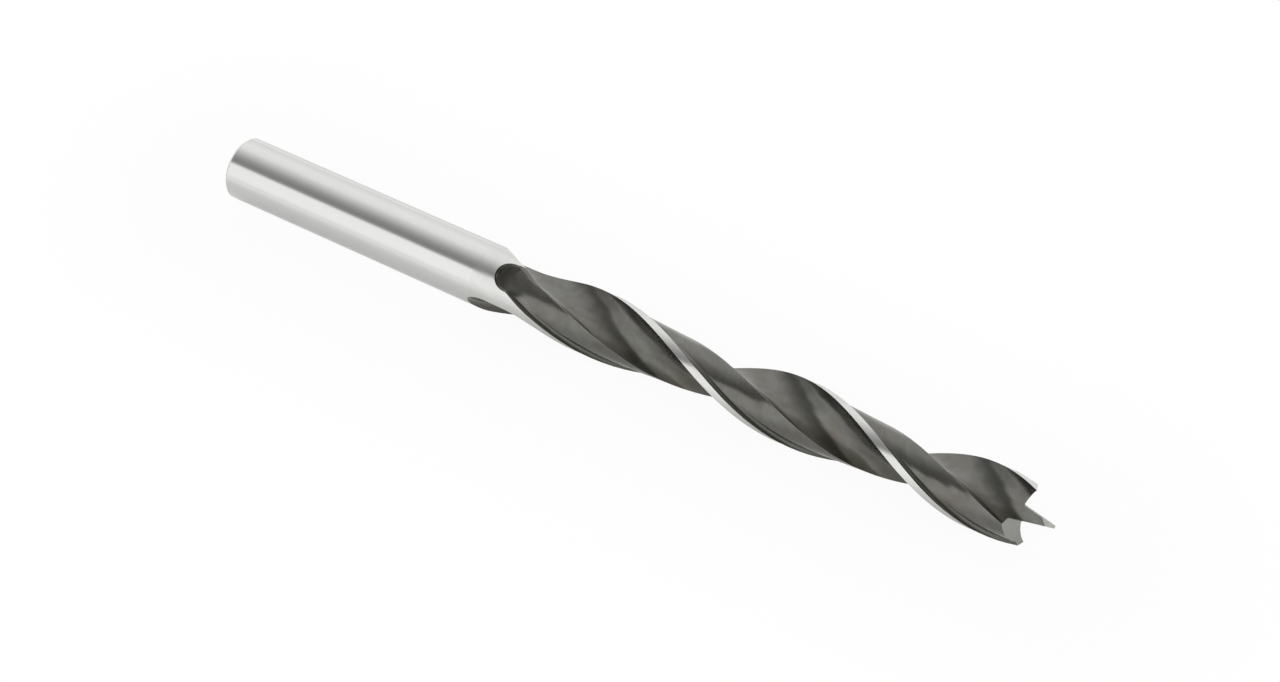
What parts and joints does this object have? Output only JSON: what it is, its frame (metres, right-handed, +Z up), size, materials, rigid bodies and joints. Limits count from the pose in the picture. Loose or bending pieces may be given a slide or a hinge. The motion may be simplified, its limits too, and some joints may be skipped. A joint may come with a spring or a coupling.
{
  "type": "brad point drill bit",
  "caption": "Straight drill bit for wood with a centre point, raised outer spurs, open spiral flutes with narrow bright margins, and a plain round shank.",
  "frame": {"origin": "middle of the length, on the surface the bit lies on", "axes": "+X along the bit from the shank end to the centre point, +Z up"},
  "size_m": [0.125, 0.009, 0.009],
  "materials": {
    "tool_steel": "bright ground shank and margins, dull dark grey flutes and relief"
  },
  "bodies": {
    "root": {"brad_point_bit": "tool_steel"}
  },
  "joints": []
}
